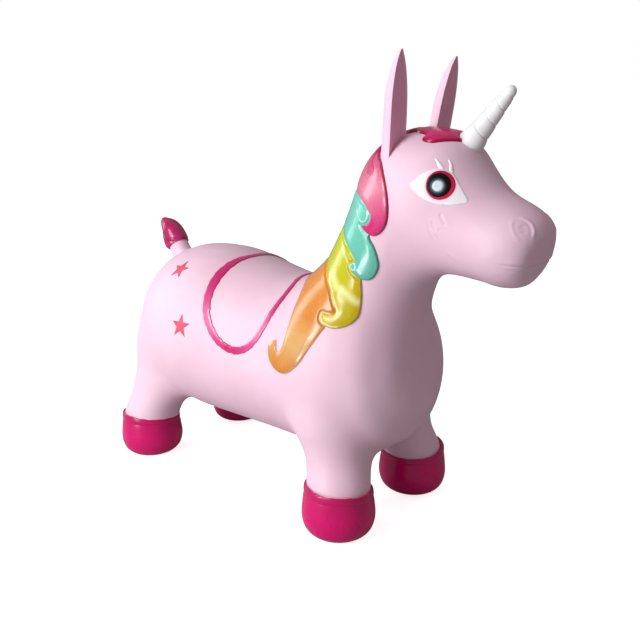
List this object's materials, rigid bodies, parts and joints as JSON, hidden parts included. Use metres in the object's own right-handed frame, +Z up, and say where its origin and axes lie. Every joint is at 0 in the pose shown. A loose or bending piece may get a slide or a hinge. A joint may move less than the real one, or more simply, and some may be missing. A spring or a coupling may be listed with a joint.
{
  "type": "bouncy ride on unicorn",
  "caption": "Inflatable vinyl unicorn hopper: a hollow body on stubby legs with a raised coloured mane, ears, a spiral horn, a saddle line and an air plug under the belly.",
  "frame": {"origin": "centre of the bounding box in plan, on the floor under the hooves", "axes": "+X from the rump towards the muzzle, +Y towards the animal's left, +Z up"},
  "size_m": [0.6058, 0.2542, 0.5276],
  "materials": {
    "pink_vinyl": "soft vinyl, satin pale pink",
    "crimson_gloss": "vinyl sprayed glossy crimson",
    "white_vinyl": "soft vinyl, satin white",
    "rose_gloss": "glossy rose spray on vinyl",
    "teal_gloss": "glossy teal spray on vinyl",
    "yellow_gloss": "glossy yellow green spray on vinyl",
    "orange_gloss": "glossy orange spray on vinyl",
    "coral_paint": "thin coral paint",
    "white_paint": "thin white paint",
    "red_paint": "thin red paint",
    "black_paint": "thin black paint",
    "glint_paint": "thin pale grey paint",
    "plug_vinyl": "firm white vinyl"
  },
  "bodies": {
    "body": {"body_skin": "pink_vinyl", "hoof_front_right": "crimson_gloss", "hoof_front_left": "crimson_gloss", "hoof_hind_right": "crimson_gloss", "hoof_hind_left": "crimson_gloss", "ear_right": "pink_vinyl", "ear_left": "pink_vinyl", "horn": "white_vinyl", "tail_tuft": "crimson_gloss", "forelock": "crimson_gloss", "mane_lock_poll": "rose_gloss", "mane_lock_pink": "rose_gloss", "mane_lock_teal": "teal_gloss", "mane_lock_yellow": "yellow_gloss", "mane_lock_orange": "orange_gloss", "saddle_trim": "rose_gloss", "star_right_1": "coral_paint", "star_right_2": "coral_paint", "star_right_3": "coral_paint", "star_left_1": "coral_paint", "star_left_2": "coral_paint", "star_left_3": "coral_paint", "eye_white_right": "white_paint", "eye_white_left": "white_paint", "iris_right": "red_paint", "iris_left": "red_paint", "pupil_right": "black_paint", "pupil_left": "black_paint", "eye_glint_right": "glint_paint", "eye_glint_left": "glint_paint", "lash_rear_right": "white_paint", "lash_rear_left": "white_paint", "lash_front_right": "white_paint", "lash_front_left": "white_paint"},
    "valve_plug": {"valve_plug": "plug_vinyl"}
  },
  "joints": [
    {"name": "valve_plug_pull", "type": "slide", "parent": "body", "child": "valve_plug", "axis": [0, 0, -1], "range_m": [0, 0.016]}
  ]
}
